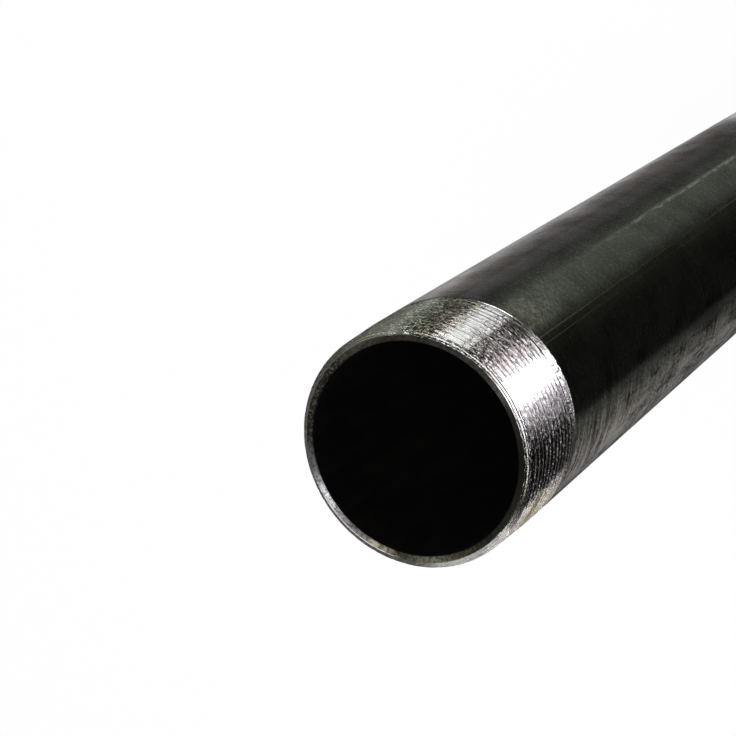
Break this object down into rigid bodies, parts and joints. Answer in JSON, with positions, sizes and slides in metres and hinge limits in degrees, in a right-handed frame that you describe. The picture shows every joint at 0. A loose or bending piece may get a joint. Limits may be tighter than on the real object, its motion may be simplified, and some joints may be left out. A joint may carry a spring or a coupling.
{
  "type": "black steel pipe",
  "caption": "Straight round black steel pipe, open right through, with a tapered male pipe thread cut on each end.",
  "frame": {"origin": "centre of the lower end face, on the pipe's axis: the pipe stands on that end", "axes": "+Z along the pipe's axis, from the lower end face to the upper one; the pipe is round, so X and Y are free: the weld seam of the render lies near -Y, and each thread starts near -X on its end face"},
  "size_m": [0.0888, 0.0888, 0.6096],
  "materials": {
    "pipe": "satin"
  },
  "bodies": {
    "root": {"pipe": "pipe"}
  },
  "joints": []
}
